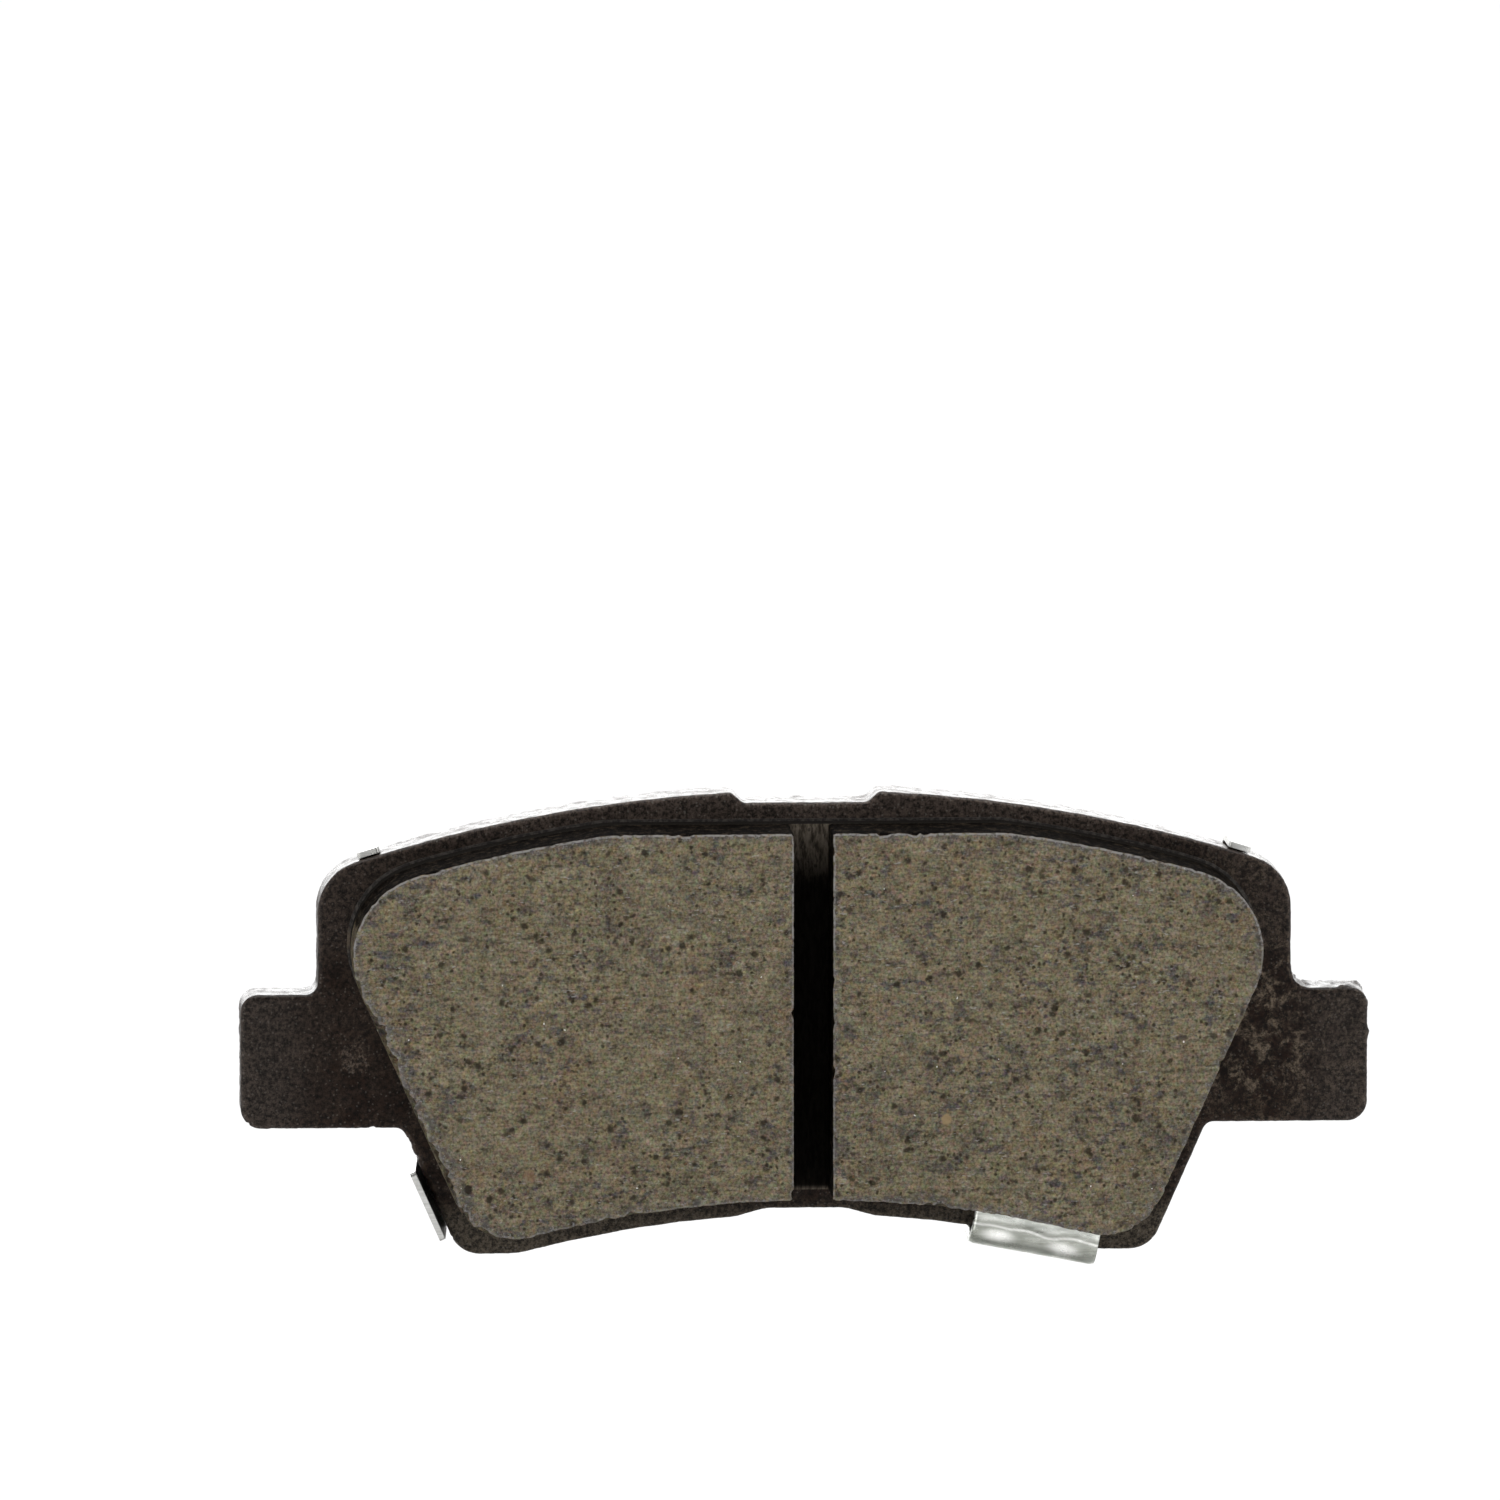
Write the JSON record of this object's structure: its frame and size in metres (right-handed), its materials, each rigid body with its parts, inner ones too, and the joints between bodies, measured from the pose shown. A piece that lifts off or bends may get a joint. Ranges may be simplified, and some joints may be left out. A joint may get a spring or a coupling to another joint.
{
  "type": "disc brake pad",
  "caption": "Rear disc brake pad: black steel backing plate with square ears, slotted moulded lining, damping shims and a riveted wear indicator.",
  "frame": {"origin": "on the outer shim's back face, where the caliper's piston pushes, halfway between the ears and level with their mid-height", "axes": "+X along the pad's length, +Y from the brake disc towards the piston, +Z outwards from the wheel's axis; the wear indicator is at +X, below"},
  "size_m": [0.0998, 0.0165, 0.0423],
  "materials": {
    "black_paint": "satin black stoving paint, mottled",
    "bond_resin": "cured phenolic resin",
    "moulded_underlayer": "moulded, fibrous",
    "friction_lining": "ground, speckled",
    "shim_rubber": "matt, finely textured",
    "shim_core_steel": "cold rolled",
    "stainless_shim": "cold rolled, bright",
    "zinc_spring_steel": "bright zinc plate"
  },
  "bodies": {
    "root": {"backing_plate": "black_paint", "bond_film": "bond_resin", "underlayer": "moulded_underlayer", "friction_block_left": "friction_lining", "friction_block_right": "friction_lining", "damping_shim_front_rubber": "shim_rubber", "damping_shim_steel_core": "shim_core_steel", "damping_shim_back_rubber": "shim_rubber", "outer_shim": "stainless_shim", "wear_indicator": "zinc_spring_steel", "wear_indicator_rivet": "zinc_spring_steel"}
  },
  "joints": []
}
